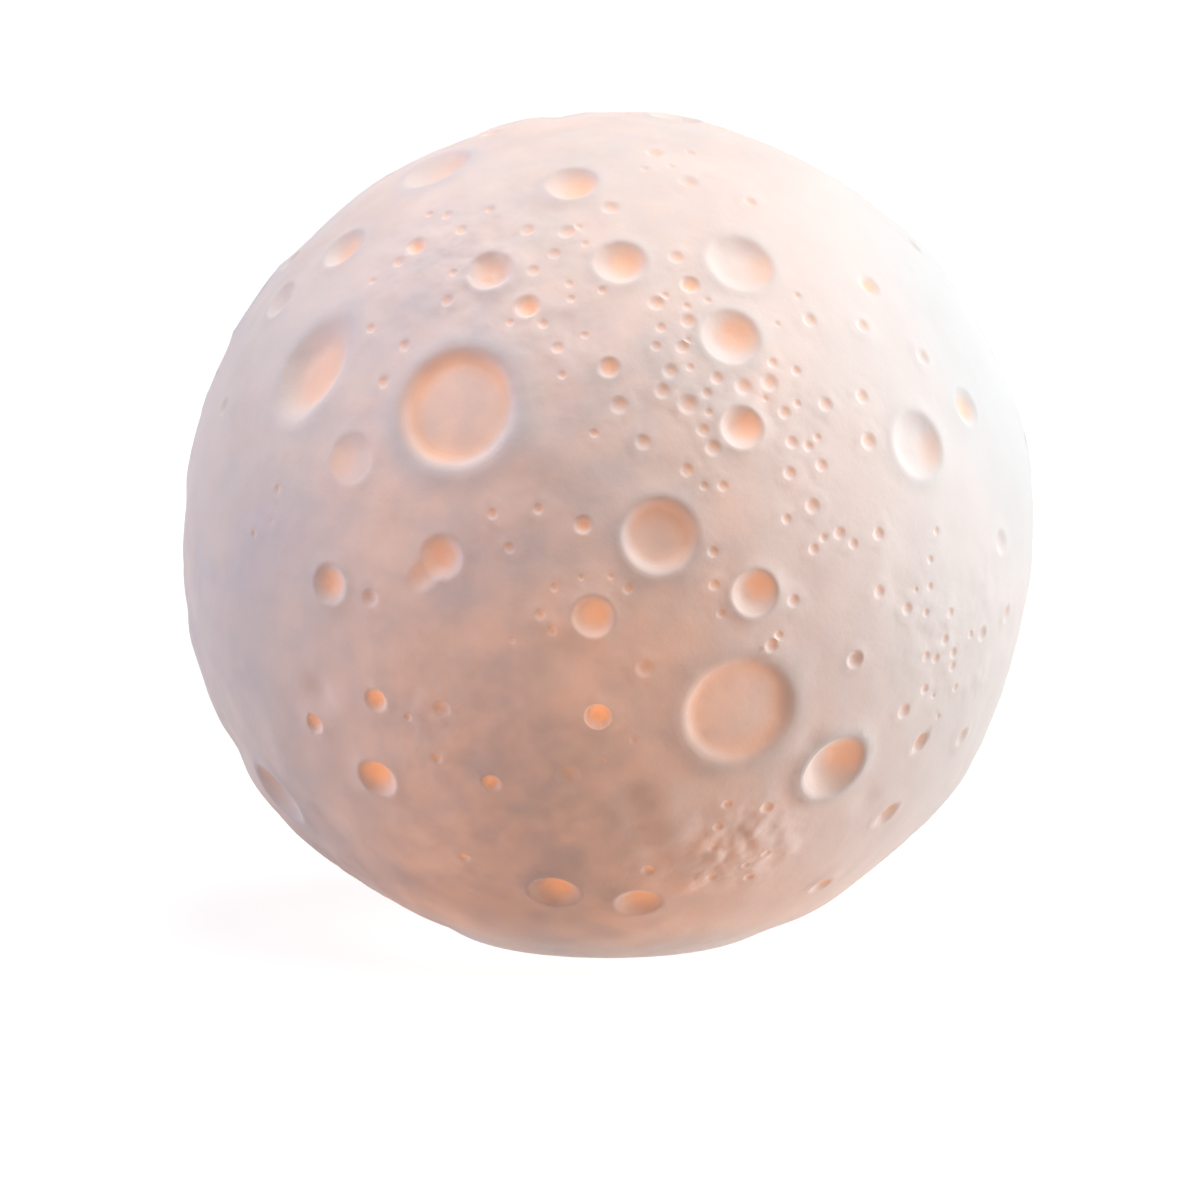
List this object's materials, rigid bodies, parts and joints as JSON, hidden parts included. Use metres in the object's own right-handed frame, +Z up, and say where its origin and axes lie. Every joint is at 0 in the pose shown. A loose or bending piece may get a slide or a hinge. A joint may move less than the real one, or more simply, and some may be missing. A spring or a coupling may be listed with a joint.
{
  "type": "moon lamp",
  "caption": "Moon-shaped table lamp: a thin cratered globe glowing over an inner light post, with a recessed base, rest ring, push button and charging socket underneath.",
  "frame": {"origin": "on the table under the globe's centre, in the plane of the foot ring's lower face", "axes": "+Z up; the pictured side faces -Y, so the view from the front looks along +Y"},
  "size_m": [0.15, 0.1504, 0.146],
  "materials": {
    "globe": "matte printed, warm white, thin enough to glow",
    "white_plastic": "satin moulded white",
    "base_plastic": "fine spark texture, off-white",
    "foot_rubber": "soft grey silicone",
    "trim_metal": "turned, brushed round",
    "button_plastic": "satin white",
    "dark_plastic": "moulded black",
    "circuit_board": "green solder mask",
    "ferrite": "sintered grey",
    "capacitor_ceramic": "fired tan",
    "socket_steel": "drawn nickel-plated steel",
    "led_chip": "phosphor in a white frame",
    "clear_plastic": "clear moulded",
    "plug_nylon": "natural nylon",
    "cell_wrap": "shrink film, plain blue",
    "foam": "closed-cell foam",
    "nickel_strip": "bright nickel",
    "wire_red": "soft insulation, red",
    "wire_black": "soft insulation, black",
    "heatsink_aluminium": "turned",
    "light_board_white": "white solder mask on aluminium",
    "milky_plastic": "milky, lets light through",
    "screw_steel": "zinc plated"
  },
  "bodies": {
    "lamp": {"moon_shell": "globe", "neck_collar": "white_plastic", "base_housing": "white_plastic", "base_cover": "base_plastic", "foot_ring": "foot_rubber", "trim_ring": "trim_metal", "switch_body": "dark_plastic", "control_board": "circuit_board", "charge_chip": "dark_plastic", "power_inductor": "ferrite", "board_capacitors": "capacitor_ceramic", "usb_socket": "socket_steel", "usb_tongue": "dark_plastic", "indicator_led": "led_chip", "light_pipe": "clear_plastic", "battery_connector": "plug_nylon", "led_connector": "plug_nylon", "battery_tube": "white_plastic", "battery_cell": "cell_wrap", "battery_pads": "foam", "battery_tabs": "nickel_strip", "battery_leads": "wire_red", "led_leads": "wire_black", "led_heatsink": "heatsink_aluminium", "led_board": "light_board_white", "led_chips": "led_chip", "diffuser_dome": "milky_plastic", "cover_screws": "screw_steel", "board_screws": "screw_steel", "tube_screws": "screw_steel", "led_screws": "screw_steel"},
    "button": {"power_button": "button_plastic", "switch_plunger": "dark_plastic"}
  },
  "joints": [
    {"name": "button_press", "type": "slide", "parent": "lamp", "child": "button", "axis": [0, 0, 1], "range_m": [0, 0.0008], "stiffness_N_per_m": 1500, "springref_m": -0.0002}
  ]
}
